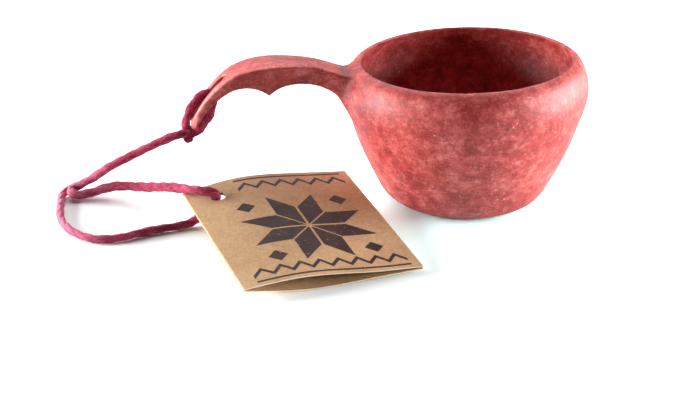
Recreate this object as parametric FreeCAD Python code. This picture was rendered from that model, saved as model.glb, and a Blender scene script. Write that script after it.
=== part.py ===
import FreeCAD, Part

import math
import os

os.makedirs("parts", exist_ok=True)
Vector = FreeCAD.Vector

# Drinking cup with a one-piece handle, a cord loop and a folded card tag. All sizes are in millimetres.
# The origin is the centre of the cup's flat foot. +Z is up and the handle points along -X.

# ---- cup: driving dimensions ----
BELLY_RADIUS = 46.5          # widest radius of the bowl, below the lip
MOUTH_HEIGHT = 55.5          # height of the mouth plane on the bowl's axis
MOUTH_RADIUS = 39.45         # inner edge of the lip
LIP_WIDTH = 1.65             # flat on top of the lip
MOUTH_TILT_DEG = 2.1         # the mouth is higher on the side away from the handle
FOOT_RADIUS = 24.5
WALL = 3.8
FLOOR_THICKNESS = 4.6
BELLY_HEIGHT = 44.4

# ---- handle ----
ROOT_BLEND = 8.0             # radius of the soft blend between bowl and handle
SLOT_WIDTH = 5.0
SLOT_LENGTH = 19.0
SLOT_SLOPE_DEG = 56.0        # slope of the handle's tip, where the slot is cut
TIP_BAR = Vector(-103.36, 0, 33.34)  # middle of the bar between the slot and the tip
TIP_BAR_HALF = 2.06          # half of that bar's length along the slope

# ---- cord ----
CORD_RADIUS = 1.45
KNOT_RADIUS = 3.0
KNOT_BELOW_BAR = 5.55        # from the middle of the tip bar to the middle of the knot
JOIN_GAP = 0.08              # clear space between neighbouring lengths of cord
SLING_HALF_LENGTH = 9.0
SLING_HALF_WIDTH = 4.05
SLING_SLOPE_DEG = 62.0
END_LENGTH = 1.6

# ---- tag ----
TAG_WIDTH = 65.0
TAG_LENGTH = 75.0
CARD = 0.35                  # thickness of the card
CREASE_RADIUS = 0.4
CREASE_GAP = 0.07            # between the crease and each leaf
TAG_HOLE_RADIUS = 3.0
TAG_HOLE_FROM_CREASE = 10.5
TAG_HOLE_FROM_FAR_EDGE = 10.0
TAG_TURN_DEG = 16.7          # of the card's near edge, away from +X
TAG_CORNER = Vector(-86.9, -87.6, 4.9)   # near end of the crease
TAG_NEAR_DROP = 3.3          # how much lower the free edge is than the crease, at the near end
TAG_FAR_RISE = 4.9           # how much higher the crease is at its far end
TAG_FAR_DROP = 0.9           # the same at the far end
TAG_RISE_AT_HOLE = 2.4       # how far the arched leaves stand above the line from crease to free edge


def save(shape, node):
    shape.exportStep("parts/" + node + ".step")


def spline(points):
    """A smooth edge through points."""
    curve = Part.BSplineCurve()
    curve.interpolate([Vector(*p) for p in points])
    return curve.toShape()


def tube(edge, radius=CORD_RADIUS):
    """A round cord along an edge."""
    start = edge.valueAt(edge.FirstParameter)
    heading = edge.tangentAt(edge.FirstParameter)
    section = Part.Wire(Part.makeCircle(radius, start, heading))
    return Part.Wire(edge).makePipeShell([section], True, True)


# ---------------------------------------------------------------- cup

def level_ring(height, radius):
    """A horizontal cut through the bowl. The cuts lean more and more towards the mouth."""
    lean = math.radians(MOUTH_TILT_DEG) * (height / MOUTH_HEIGHT) ** 2
    normal = Vector(-math.sin(lean), 0, math.cos(lean))
    circle = Part.Circle(Vector(0, 0, height), normal, radius)
    return Part.Wire(circle.toShape())


def bowl_outside():
    lip_radius = MOUTH_RADIUS + LIP_WIDTH
    rings = [
        (0.0, FOOT_RADIUS),
        (0.85, FOOT_RADIUS + 3.2),
        (3.2, 30.8),
        (8.0, 33.8),
        (15.0, 37.2),
        (24.0, 41.0),
        (34.0, 44.3),
        (BELLY_HEIGHT, BELLY_RADIUS),
        (50.4, 45.1),
        (53.9, 43.0),
        (MOUTH_HEIGHT, lip_radius),
    ]
    return Part.makeLoft([level_ring(z, r) for z, r in rings], True, False)


def bowl_hollow():
    rings = [
        (FLOOR_THICKNESS, 14.0),
        (FLOOR_THICKNESS + 1.0, 21.0),
        (9.5, 28.6),
        (17.0, 34.1),
        (26.0, 37.9),
        (35.0, 40.7),
        (BELLY_HEIGHT, BELLY_RADIUS - WALL),
        (50.5, 42.0),
        (MOUTH_HEIGHT, MOUTH_RADIUS),
    ]
    hollow = Part.makeLoft([level_ring(z, r) for z, r in rings], True, False)
    mouth = Part.Face(level_ring(MOUTH_HEIGHT, MOUTH_RADIUS))
    opening = mouth.extrude(Vector(0, 0, 5))
    return hollow, opening


def handle_side():
    """The handle's outline seen from the side, as a face in the XZ plane."""
    top = spline([(-34, 0, 49.5), (-46, 0, 51.4), (-56, 0, 54.7), (-69, 0, 56.1), (-81, 0, 55.2),
                  (-90, 0, 51.9), (-97, 0, 45.8), (-101.2, 0, 39.6), (-104.8, 0, 32.8)])
    tip = Part.Arc(Vector(-104.8, 0, 32.8), Vector(-104.2, 0, 31.4), Vector(-102.7, 0, 31.6)).toShape()
    cusp = (-75.1, 0, 45.8)
    outer_finger = spline([(-102.7, 0, 31.6), (-98.9, 0, 38.6), (-95.3, 0, 43.0), (-89.8, 0, 47.4),
                           (-83.0, 0, 49.0), (-78.6, 0, 47.9), cusp])
    inner_finger = spline([cusp, (-71.8, 0, 48.1), (-65.5, 0, 49.7), (-58.0, 0, 48.9),
                           (-51.0, 0, 44.9), (-46.2, 0, 38.6), (-41.0, 0, 28.0), (-34.0, 0, 18.0)])
    root = Part.makeLine(Vector(-34, 0, 18.0), Vector(-34, 0, 49.5))
    return Part.Face(Part.Wire([top, tip, outer_finger, inner_finger, root]))


def handle_plan():
    """The handle's outline seen from above, as a face in the XY plane."""
    widths = [(-34, 10.0), (-46, 7.6), (-57, 6.8), (-71, 8.6), (-82, 9.1), (-91, 8.3), (-98, 6.9), (-102.5, 5.2)]
    tip = (-105.2, 2.0)
    near = spline([(x, -w, 0) for x, w in widths] + [(tip[0], -tip[1], 0)])
    end = Part.makeLine(Vector(tip[0], -tip[1], 0), Vector(tip[0], tip[1], 0))
    far = spline([(tip[0], tip[1], 0)] + [(x, w, 0) for x, w in reversed(widths)])
    root = Part.makeLine(Vector(-34, widths[0][1], 0), Vector(-34, -widths[0][1], 0))
    return Part.Face(Part.Wire([near, end, far, root]))


def handle():
    side = handle_side()
    side.translate(Vector(0, -15, 0))
    blade = side.extrude(Vector(0, 30, 0))
    plan = handle_plan()
    plan.translate(Vector(0, 0, 15))
    return blade.common(plan.extrude(Vector(0, 0, 50)))


def slope_frame(slope_deg):
    """Directions along the handle's tip (downwards) and out of its top face."""
    slope = math.radians(slope_deg)
    along = Vector(-math.cos(slope), 0, -math.sin(slope))
    outwards = Vector(-math.sin(slope), 0, math.cos(slope))
    return along, outwards


def slot():
    """The round-ended slot for the cord, cut square to the slope of the tip."""
    along, outwards = slope_frame(SLOT_SLOPE_DEG)
    half = SLOT_WIDTH / 2
    lower = TIP_BAR - along * (TIP_BAR_HALF + half)
    upper = lower - along * (SLOT_LENGTH - SLOT_WIDTH)
    across = Vector(0, half, 0)
    outline = Part.Wire([
        Part.makeLine(lower + across, upper + across),
        Part.Arc(upper + across, upper - along * half, upper - across).toShape(),
        Part.makeLine(upper - across, lower - across),
        Part.Arc(lower - across, lower + along * half, lower + across).toShape(),
    ])
    tool = Part.Face(outline)
    tool.translate(outwards * -12)
    return tool.extrude(outwards * 24)


def is_root_edge(edge):
    """Whether an edge lies where the handle meets the bowl."""
    box = edge.BoundBox
    return -52 < box.XMin and box.XMax < -34 and box.ZMin > 15 and abs(box.Center.y) < 12


def cup():
    hollow, opening = bowl_hollow()
    body = bowl_outside().fuse(handle())
    roots = [edge for edge in body.Edges if is_root_edge(edge)]
    body = body.makeFillet(ROOT_BLEND, roots)
    return body.cut([hollow, opening, slot()])


# ---------------------------------------------------------------- tag

def tag_frames():
    """The near and far ends of the card as (crease point, direction to the free edge, upward normal)."""
    turn = math.radians(TAG_TURN_DEG)
    across = Vector(math.cos(turn), math.sin(turn), 0)
    level_back = Vector(-math.sin(turn), math.cos(turn), 0)
    run_back = math.sqrt(TAG_LENGTH ** 2 - TAG_FAR_RISE ** 2)
    far_corner = TAG_CORNER + level_back * run_back + Vector(0, 0, TAG_FAR_RISE)
    crease_way = (far_corner - TAG_CORNER).normalize()
    frames = []
    for corner, drop in ((TAG_CORNER, TAG_NEAR_DROP), (far_corner, TAG_FAR_DROP)):
        lean = math.asin(drop / TAG_WIDTH)
        outwards = across * math.cos(lean) - Vector(0, 0, math.sin(lean))
        frames.append((corner, outwards, outwards.cross(crease_way)))
    return frames


def leaf_section(frame, side, bows):
    """The card's thin cut face at one end of a leaf. side is 1 for the front leaf and -1 for the back."""
    corner, outwards, upwards = frame
    start = CREASE_RADIUS + CREASE_GAP
    stations = [start, TAG_WIDTH * 0.35, TAG_WIDTH * 0.68, TAG_WIDTH]
    inner = [corner + outwards * u + upwards * (side * bow) for u, bow in zip(stations, bows)]
    outer = [point + upwards * (side * CARD) for point in inner]
    return Part.Wire([
        spline(inner),
        Part.makeLine(inner[-1], outer[-1]),
        spline(outer[::-1]),
        Part.makeLine(outer[0], inner[0]),
    ])


def tag_leaf(side, near_bows, far_bows):
    near, far = tag_frames()
    sections = [leaf_section(near, side, near_bows), leaf_section(far, side, far_bows)]
    sheet = Part.makeLoft(sections, True, True)
    return sheet.cut(tag_hole())


def tag_axes():
    """The crease's far end, the way to the free edge, the way back to the near end, and the normal."""
    near, far = tag_frames()
    forwards = (near[0] - far[0]).normalize()
    return far[0], far[1], forwards, far[2]


def tag_point(from_crease, from_far_edge, height):
    """A point near the tag's far corner, measured from the crease, the far edge and the card's plane."""
    corner, outwards, forwards, upwards = tag_axes()
    return corner + outwards * from_crease + forwards * from_far_edge + upwards * height


def tag_hole():
    upwards = tag_axes()[3]
    base = tag_point(TAG_HOLE_FROM_CREASE, TAG_HOLE_FROM_FAR_EDGE, -10)
    return Part.makeCylinder(TAG_HOLE_RADIUS, 20, base, upwards)


def tag_crease():
    near, far = tag_frames()
    return Part.makeCylinder(CREASE_RADIUS, TAG_LENGTH, near[0], far[0] - near[0])


# ---------------------------------------------------------------- cord

def knot_centre():
    along = slope_frame(SLING_SLOPE_DEG)[0]
    return TIP_BAR + along * KNOT_BELOW_BAR


def sling():
    """The turn of cord through the slot and round the tip, open where the knot holds it."""
    along, outwards = slope_frame(SLING_SLOPE_DEG)
    centre = knot_centre() - along * SLING_HALF_LENGTH
    ring = Part.Ellipse(centre + along * SLING_HALF_LENGTH, centre + outwards * SLING_HALF_WIDTH, centre)
    loop = tube(ring.toShape())
    return loop.cut(Part.makeSphere(KNOT_RADIUS + JOIN_GAP, knot_centre()))


def knot():
    """Crossed turns of cord pulled tight into one lump."""
    centre = knot_centre()
    turn_radius = 1.0
    wrap = KNOT_RADIUS - 2 * turn_radius
    lump = Part.makeSphere(KNOT_RADIUS - 0.7, centre)
    for tilt in (20, 80, 140):
        lean = math.radians(tilt)
        way = Vector(math.cos(lean), 0.5, math.sin(lean))
        lump = lump.fuse(Part.makeTorus(wrap + turn_radius, turn_radius, centre, way))
    return lump


def cord_end():
    """The short cut end that points down from the knot."""
    way = Vector(0.25, -0.4, -0.88).normalize()
    base = knot_centre() + way * (KNOT_RADIUS + JOIN_GAP)
    return Part.makeCylinder(CORD_RADIUS * 0.85, END_LENGTH, base, way)


def cord_stations():
    """Points along the cord's loop, from the knot out, round and back. Named ones part two lengths."""
    near_knot = knot_centre() + Vector(-KNOT_RADIUS - 0.8, 0, 0)
    beside = Vector(0, 1.5, -0.65)   # from the middle of the two strands to the rear one
    turn = 2.3                       # radius of the turn through the tag's hole
    inner = TAG_HOLE_FROM_CREASE + 0.2 - turn
    lane = TAG_HOLE_FROM_FAR_EDGE
    diagonal = turn * math.sqrt(0.5)
    level = TAG_RISE_AT_HOLE - 0.25  # the middle of the two leaves, at the hole
    crest = level + turn
    floor = CORD_RADIUS + 0.15
    return [
        ("knot_front", near_knot - beside),
        (None, Vector(-120.0, 1.0, 23.5)),
        (None, Vector(-129.1, 3.4, 18.3)),
        (None, Vector(-138.4, 5.9, 12.5)),
        ("turn_in", Vector(-146.8, 8.3, 6.4)),
        (None, Vector(-150.2, 8.8, 4.4)),
        (None, Vector(-151.8, 8.3, 3.7)),
        (None, Vector(-152.5, 6.8, 3.1)),
        (None, Vector(-151.9, 5.3, 2.7)),
        (None, Vector(-150.3, 4.8, 2.5)),
        ("turn_out", Vector(-146.8, 5.0, 2.6)),
        (None, Vector(-137.8, 6.0, 4.6)),
        (None, Vector(-126.0, 0.6, 6.6)),
        ("bight_in", Vector(-113.4, -10.6, 10.7)),
        (None, tag_point(1.6, 3.4, crest - 1.1)),
        (None, tag_point(inner, lane - 0.4, crest)),
        (None, tag_point(inner + diagonal, lane, level + diagonal)),
        (None, tag_point(inner + turn, lane, level)),
        (None, tag_point(inner + diagonal, lane, level - diagonal)),
        (None, tag_point(inner - 0.7, lane + 0.1, level - turn - 0.4)),
        (None, Vector(-103.6, -23.4, 3.0)),
        ("bight_out", Vector(-110.4, -26.2, floor)),
        (None, Vector(-121.0, -29.6, floor)),
        (None, Vector(-131.5, -34.8, floor)),
        (None, Vector(-139.5, -35.2, floor)),
        ("bend_in", Vector(-146.8, -30.6, floor)),
        (None, Vector(-152.6, -22.0, floor)),
        (None, Vector(-155.6, -9.0, floor)),
        (None, Vector(-156.2, 1.0, floor)),
        (None, Vector(-156.1, 7.4, floor)),
        (None, Vector(-153.4, 11.4, floor + 0.9)),
        ("bend_out", Vector(-146.8, 11.9, 5.0)),
        (None, Vector(-138.4, 9.0, 11.1)),
        (None, Vector(-129.1, 6.5, 16.9)),
        (None, Vector(-120.0, 4.1, 22.2)),
        ("knot_rear", near_knot + beside),
    ]


CORD_LENGTHS = [
    ("cord_run_front", "knot_front", "turn_in"),
    ("cord_turn", "turn_in", "turn_out"),
    ("cord_upper_strand", "turn_out", "bight_in"),
    ("cord_bight", "bight_in", "bight_out"),
    ("cord_lower_strand", "bight_out", "bend_in"),
    ("cord_bend", "bend_in", "bend_out"),
    ("cord_run_rear", "bend_out", "knot_rear"),
]


def cord_lengths():
    """The loop of cord as one smooth curve, cut into its named lengths."""
    stations = cord_stations()
    points = [point for _, point in stations]
    along = [0.0]
    for last, point in zip(points, points[1:]):
        along.append(along[-1] + last.distanceToPoint(point))
    place = {name: distance for (name, _), distance in zip(stations, along) if name}
    curve = Part.BSplineCurve()
    curve.interpolate(Points=points, Parameters=along)
    half_gap = JOIN_GAP / 2
    for node, start, end in CORD_LENGTHS:
        yield node, tube(curve.toShape(place[start] + half_gap, place[end] - half_gap))


def build():
    save(cup(), "cup")
    save(sling(), "cord_sling")
    save(knot(), "cord_knot")
    save(cord_end(), "cord_end")
    for node, length in cord_lengths():
        save(length, node)
    save(tag_crease(), "tag_crease")
    save(tag_leaf(1, [0.15, 2.2, 0.9, 0.3], [0.15, 3.7, 2.4, 0.3]), "tag_front_leaf")
    save(tag_leaf(-1, [0.15, 2.6, 1.6, 0.3], [0.15, -3.5, -2.1, 0.1]), "tag_back_leaf")


build()
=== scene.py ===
import math

import bmesh
import bpy
import numpy as np
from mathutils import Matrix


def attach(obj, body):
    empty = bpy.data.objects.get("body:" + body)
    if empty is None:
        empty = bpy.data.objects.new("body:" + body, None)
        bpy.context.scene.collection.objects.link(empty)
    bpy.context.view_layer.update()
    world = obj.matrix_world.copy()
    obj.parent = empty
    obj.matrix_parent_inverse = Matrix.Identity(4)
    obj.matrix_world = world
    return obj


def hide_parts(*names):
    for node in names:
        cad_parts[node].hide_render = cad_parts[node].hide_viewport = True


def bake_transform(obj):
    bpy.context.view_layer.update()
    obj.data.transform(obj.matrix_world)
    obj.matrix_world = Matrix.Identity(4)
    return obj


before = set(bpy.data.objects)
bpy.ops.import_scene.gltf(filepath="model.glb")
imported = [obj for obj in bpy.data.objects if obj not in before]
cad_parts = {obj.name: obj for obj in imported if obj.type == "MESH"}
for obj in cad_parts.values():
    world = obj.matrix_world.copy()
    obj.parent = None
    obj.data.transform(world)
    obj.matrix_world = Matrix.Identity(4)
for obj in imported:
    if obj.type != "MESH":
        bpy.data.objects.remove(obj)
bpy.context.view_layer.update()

# The looks of a drinking cup with a cord and a folded card tag. Lengths in this file are in millimetres,
# in the CAD frame, and become metres when a mesh is made.
MM = 0.001
RANDOM = np.random.default_rng(7)

# ---- cup ----
MOUTH_HEIGHT = 55.5
MOUTH_TILT_DEG = 2.1
LIP_ROUND = 1.1              # softness of the lip's edges
BOWL_RINGS = [(0.0, 24.5), (0.85, 27.7), (3.2, 30.8), (8.0, 33.8), (15.0, 37.2), (24.0, 41.0), (34.0, 44.3),
              (44.4, 46.5), (50.4, 45.1), (53.9, 43.0), (55.5, 41.1)]
HOLLOW_RINGS = [(4.6, 14.0), (5.6, 21.0), (9.5, 28.6), (17.0, 34.1), (26.0, 37.9), (35.0, 40.7), (44.4, 42.7),
                (50.5, 42.0), (55.5, 39.45)]
HANDLE_TOP = [(-34, 49.5), (-46, 51.4), (-56, 54.7), (-69, 56.1), (-81, 55.2), (-90, 51.9), (-97, 45.8),
              (-101.5, 39.7), (-105.2, 32.8)]
HANDLE_TIP = [(-105.2, 32.8), (-104.7, 31.1), (-102.7, 31.3)]
HANDLE_CUSP = (-75.1, 44.8)
OUTER_FINGER = [(-102.7, 31.3), (-98.9, 38.4), (-95.1, 42.4), (-89.6, 46.5), (-83.0, 48.0), (-78.6, 46.9),
                HANDLE_CUSP]
INNER_FINGER = [HANDLE_CUSP, (-71.8, 47.1), (-65.5, 48.6), (-58.0, 47.8), (-51.0, 44.6), (-44.2, 38.6),
                (-37.5, 30.0), (-30.0, 20.0)]
HANDLE_WIDTHS = [(-34, 10.0), (-46, 7.6), (-57, 6.8), (-71, 8.6), (-82, 9.1), (-91, 8.3), (-98, 6.9),
                 (-102.5, 5.2), (-105.2, 2.0)]
HANDLE_EDGE_ROUND = 1.4      # softness of the handle's long edges
HANDLE_UNDERCUT = 0.08       # how far the sides fall in for each mm below the top
ROOT_ROUND = ([15, 30, 40, 51], [1.5, 3.5, 6.0, 3.5])   # softness of the join to the bowl, at heights
SLOT_SLOPE_DEG = 56.0
SLOT_WIDTH = 5.0
SLOT_LENGTH = 19.0
TIP_BAR = np.array([-103.36, 0.0, 33.34])
TIP_BAR_HALF = 2.06
VOXEL = 0.62

# ---- cord ----
CORD_RADIUS = 1.45
KNOT_BELOW_BAR = 5.55
KNOT_RADIUS = 3.0
SLING_SLOPE_DEG = 62.0
SLING_HALF_LENGTH = 9.0
RING_STEP = 0.25             # distance between rings of the cord's mesh
PLIES = 3
PLY_TURN = 18.0              # length of cord in which a ply goes once round
PLY_SIDES = 26
THREAD_TWIST = 1.0           # how fast a ply's own threads wind, in radians per mm
HELIX_RADIUS = 0.31          # from the cord's middle to a ply's middle, as a share of the cord's radius
PLY_RADIUS = 0.76            # a ply's own radius, as a share of the cord's radius
FUZZ_PER_MM = 5.0            # loose fibres on each mm of cord
FIBRE_WIDTH = 0.03
SLING_HALF_WIDTHS = ([0, 5.5, 9.0, 18.0], [3.9, 3.6, 3.5, 3.4])    # at distances from the knot
SLING_SIZES = ([0, 2.0, 5.5, 9.5, 14.0, 18.0], [1.0, 1.10, 1.09, 1.28, 1.24, 1.05])
KNOT_SIZE = 0.73
KNOT_DROP = 0.4              # how far the knot's middle has slipped down from the CAD's

# ---- tag ----
TAG_WIDTH = 65.0
TAG_LENGTH = 75.0
CARD = 0.35
CARD_INSIDE = 0.15           # from the middle of the fold to the inside face of a leaf
TAG_HOLE_RADIUS = 3.0
TAG_HOLE = (10.5, 65.0)      # from the crease, from the near edge
HOLE_LANE = TAG_LENGTH - TAG_HOLE[1]   # from the far edge
TAG_TURN_DEG = 16.7
TAG_CORNER = np.array([-86.9, -87.6, 4.9])
TAG_NEAR_DROP = 3.3
TAG_FAR_RISE = 4.9
TAG_FAR_DROP = 0.9
TAG_RISE_AT_HOLE = 2.4
BOW_STATIONS = [0.0, 0.35 * TAG_WIDTH, 0.68 * TAG_WIDTH, TAG_WIDTH]
FRONT_BOWS = ([0.15, 2.2, 0.9, 0.3], [0.15, 3.7, 2.4, 0.3])
BACK_BOWS = ([0.15, 2.6, 1.6, 0.3], [0.15, -3.5, -2.1, 0.1])
GRID = 1.7                   # size of the card's mesh squares
INK = 0.03                   # how far the print stands above the card

# ---- light ----
FLOOR_SEEN = 1.20            # how much of its light the paper returns to the camera
FLOOR_FOR_OBJECT = 0.92      # and to the object
FLOOR_COOL = (1.55, 1.05)    # green and blue over red, near the cup and far off: takes out its red glow
SKY_BEHIND = 0.45            # light of the room behind the object
SKY_BEFORE = 0.02            # and on the camera's side
LIGHT_TARGET = (-0.03, 0.0, 0.03)   # in metres


# ======== meshes and curves

def srgb(red, green, blue):
    """A linear colour from ordinary 0 to 255 values."""
    def linear(value):
        value = value / 255
        return value / 12.92 if value <= 0.04045 else ((value + 0.055) / 1.055) ** 2.4
    return (linear(red), linear(green), linear(blue), 1.0)


def make_object(name, materials, vertices, faces, face_materials=None, uvs=None, sharp_deg=None):
    """A mesh object from millimetre vertices. uvs holds one pair per vertex."""
    mesh = bpy.data.meshes.new(name)
    points = np.asarray(vertices, float) * MM
    mesh.from_pydata(points.tolist(), [], [list(face) for face in faces])
    for material in materials:
        mesh.materials.append(material)
    if face_materials is not None:
        mesh.polygons.foreach_set("material_index", np.asarray(face_materials, np.int32))
    if uvs is not None:
        layer = mesh.uv_layers.new(name="UVMap")
        corner_vertex = np.zeros(len(mesh.loops), np.int32)
        mesh.loops.foreach_get("vertex_index", corner_vertex)
        layer.data.foreach_set("uv", np.asarray(uvs, np.float32)[corner_vertex].ravel())
    mesh.polygons.foreach_set("use_smooth", np.ones(len(mesh.polygons), bool))
    if sharp_deg is not None:
        mesh.set_sharp_from_angle(angle=math.radians(sharp_deg))
    mesh.validate()
    mesh.update()
    return place_object(name, mesh)


def place_object(name, data):
    thing = bpy.data.objects.new(name, data)
    bpy.context.scene.collection.objects.link(thing)
    return thing


def tube_faces(rows, sides):
    """Quads between neighbouring rings of a tube."""
    faces = []
    for i in range(rows - 1):
        for k in range(sides):
            here, following = i * sides + k, i * sides + (k + 1) % sides
            faces.append([here, following, following + sides, here + sides])
    return faces


def bend_between(piece):
    """Bakes the piece's placement into its mesh; it follows no body."""
    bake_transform(piece)


class Spline:
    """A natural cubic spline through points, run by distance along its chords."""

    def __init__(self, points):
        self.points = np.asarray(points, float)
        steps = np.linalg.norm(np.diff(self.points, axis=0), axis=1)
        self.stations = np.concatenate([[0.0], np.cumsum(steps)])
        count = len(self.points)
        system = np.eye(count)
        right = np.zeros_like(self.points)
        for i in range(1, count - 1):
            system[i, i - 1:i + 2] = steps[i - 1], 2 * (steps[i - 1] + steps[i]), steps[i]
            rise_after = (self.points[i + 1] - self.points[i]) / steps[i]
            rise_before = (self.points[i] - self.points[i - 1]) / steps[i - 1]
            right[i] = 6 * (rise_after - rise_before)
        self.bends = np.linalg.solve(system, right)

    def at(self, distance):
        distance = np.atleast_1d(np.asarray(distance, float))
        last = len(self.stations) - 2
        i = np.clip(np.searchsorted(self.stations, distance, side="right") - 1, 0, last)
        step = (self.stations[i + 1] - self.stations[i])[:, None]
        before = (distance - self.stations[i])[:, None]
        after = step - before
        low, high = self.points[i], self.points[i + 1]
        low_bend, high_bend = self.bends[i], self.bends[i + 1]
        return (low_bend * after ** 3 / (6 * step) + high_bend * before ** 3 / (6 * step)
                + (low / step - low_bend * step / 6) * after + (high / step - high_bend * step / 6) * before)

    def sampled(self, count):
        return self.at(np.linspace(0, self.stations[-1], count))


# ======== cup shape

def outline_distance(x, y, outline):
    """Signed distance from points to a closed outline in a plane, less than 0 inside."""
    nearest = np.full(x.shape, np.inf)
    inside = np.zeros(x.shape, bool)
    for (x0, y0), (x1, y1) in zip(outline, np.roll(outline, -1, axis=0)):
        dx, dy = x1 - x0, y1 - y0
        squared = dx * dx + dy * dy
        if squared < 1e-12:
            continue
        share = np.clip(((x - x0) * dx + (y - y0) * dy) / squared, 0, 1)
        gap = (x - x0 - share * dx) ** 2 + (y - y0 - share * dy) ** 2
        nearest = np.minimum(nearest, gap)
        if y0 != y1:
            crosses = (y0 > y) != (y1 > y)
            inside ^= crosses & (x < x0 + (y - y0) * dx / dy)
    return np.where(inside, -1, 1) * np.sqrt(nearest)


class DistanceTable:
    """The signed distance to an outline, read off a fine grid."""

    STEP = 0.2

    def __init__(self, outline, low, high):
        self.low = np.asarray(low, float)
        self.counts = (np.ceil((np.asarray(high, float) - self.low) / self.STEP).astype(int) + 1)
        lines = [self.low[k] + self.STEP * np.arange(self.counts[k]) for k in (0, 1)]
        x, y = np.meshgrid(*lines, indexing="ij")
        self.values = outline_distance(x, y, np.asarray(outline, float))

    def __call__(self, x, y):
        fx = np.clip((x - self.low[0]) / self.STEP, 0, self.counts[0] - 1.001)
        fy = np.clip((y - self.low[1]) / self.STEP, 0, self.counts[1] - 1.001)
        ix, iy = fx.astype(int), fy.astype(int)
        sx, sy = fx - ix, fy - iy
        v = self.values
        return ((v[ix, iy] * (1 - sx) + v[ix + 1, iy] * sx) * (1 - sy)
                + (v[ix, iy + 1] * (1 - sx) + v[ix + 1, iy + 1] * sx) * sy)


def soft_max(a, b, softness):
    overlap = np.maximum(softness - np.abs(a - b), 0) / softness
    return np.maximum(a, b) + overlap * overlap * softness / 4


def soft_min(a, b, softness):
    return -soft_max(-a, -b, softness)


def ring_outline(rings, top_height):
    """Half of a bowl's section as (radius, height), carried straight up to top_height."""
    wall = Spline([(radius, height) for height, radius in rings]).sampled(160)
    last_radius = wall[-1][0]
    return np.vstack([[(0.0, wall[0][1])], wall, [(last_radius, top_height), (0.0, top_height)]])


def handle_side_outline():
    parts = [Spline(HANDLE_TOP).sampled(90), Spline(HANDLE_TIP).sampled(12)[1:],
             Spline(OUTER_FINGER).sampled(50)[1:], Spline(INNER_FINGER).sampled(70)[1:]]
    return np.vstack(parts)


def handle_plan_outline():
    near = Spline([(x, -w) for x, w in HANDLE_WIDTHS]).sampled(90)
    far = near[::-1] * [1, -1]
    return np.vstack([near, far])


def slope_frame(slope_deg):
    slope = math.radians(slope_deg)
    along = np.array([-math.cos(slope), 0, -math.sin(slope)])
    outwards = np.array([-math.sin(slope), 0, math.cos(slope)])
    return along, outwards


class CupShape:
    """Signed distance to the cup, with every edge and join softened."""

    def __init__(self):
        self.outside = DistanceTable(ring_outline(BOWL_RINGS, 56.5), (-1, -3), (70, 64))
        self.hollow = DistanceTable(ring_outline(HOLLOW_RINGS, 70.0), (-1, -3), (70, 64))
        self.side = DistanceTable(handle_side_outline(), (-112, -3), (54, 64))
        self.plan = DistanceTable(handle_plan_outline(), (-112, -52), (54, 52))
        self.crown = Spline(HANDLE_TOP).sampled(90)[::-1]

    def bowl_height(self, x, z):
        """Height along the bowl's axis. Level rings lean more and more towards the mouth."""
        height = z
        for _ in range(2):
            lean = np.radians(MOUTH_TILT_DEG) * np.clip(height / MOUTH_HEIGHT, 0, 1.1) ** 2
            height = z - np.tan(lean) * x
        return height

    def slot(self, x, y, z):
        along, outwards = slope_frame(SLOT_SLOPE_DEG)
        dx, dz = x - TIP_BAR[0], z - TIP_BAR[2]
        run = -(dx * along[0] + dz * along[2]) - TIP_BAR_HALF - SLOT_WIDTH / 2
        off = dx * outwards[0] + dz * outwards[2]
        beyond = run - np.clip(run, 0, SLOT_LENGTH - SLOT_WIDTH)
        across = np.sqrt(beyond ** 2 + y ** 2) - SLOT_WIDTH / 2
        return np.maximum(across, np.abs(off) - 12)

    def __call__(self, x, y, z):
        radius = np.sqrt(x * x + y * y)
        height = self.bowl_height(x, z)
        bowl = soft_max(self.outside(radius, height), height - MOUTH_HEIGHT, LIP_ROUND * 1.6)
        below_top = np.clip(np.interp(x, self.crown[:, 0], self.crown[:, 1]) - z, 0, 9)
        undercut = HANDLE_UNDERCUT * np.interp(x, [-96, -88, -52, -42], [0, 1, 1, 0])
        edge_round = HANDLE_EDGE_ROUND * np.interp(x, [-104, -97], [0.55, 1.0])
        handle = soft_max(self.side(x, z), self.plan(x, y) + undercut * below_top, edge_round)
        body = soft_min(bowl, handle, np.interp(z, *ROOT_ROUND))
        body = soft_max(body, -self.hollow(radius, height), LIP_ROUND)
        body = soft_max(body, -self.slot(x, y, z), 0.9)
        return np.maximum(body, -z)


def surface_net(values, low, step):
    """Vertices and quads of the surface where values is 0: one vertex in each cell that it passes through."""
    inside = values < 0
    corners_inside = inside.astype(np.int8)
    for _ in range(3):
        corners_inside = np.moveaxis(corners_inside[:-1] + corners_inside[1:], 0, -1)
    active = (corners_inside > 0) & (corners_inside < 8)
    number = np.full(active.shape, -1, np.int64)
    number[active] = np.arange(active.sum())
    vertices = low + (np.argwhere(active) + 0.5) * step
    quads = []
    for axis in range(3):
        changes = np.diff(inside.astype(np.int8), axis=axis)
        edges = np.argwhere(changes)
        b, c = [k for k in range(3) if k != axis]
        good = ((edges[:, b] > 0) & (edges[:, c] > 0) & (edges[:, b] < inside.shape[b] - 1)
                & (edges[:, c] < inside.shape[c] - 1))
        edges = edges[good]
        outward = changes[tuple(edges.T)] < 0
        around = []
        for db, dc in ((-1, -1), (0, -1), (0, 0), (-1, 0)):
            cell = edges.copy()
            cell[:, b] += db
            cell[:, c] += dc
            around.append(number[tuple(cell.T)])
        quad = np.stack(around, axis=1)
        flip = outward ^ (axis == 1)
        quad[~flip] = quad[~flip][:, ::-1]
        quads.append(quad)
    return vertices, np.vstack(quads)


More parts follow.
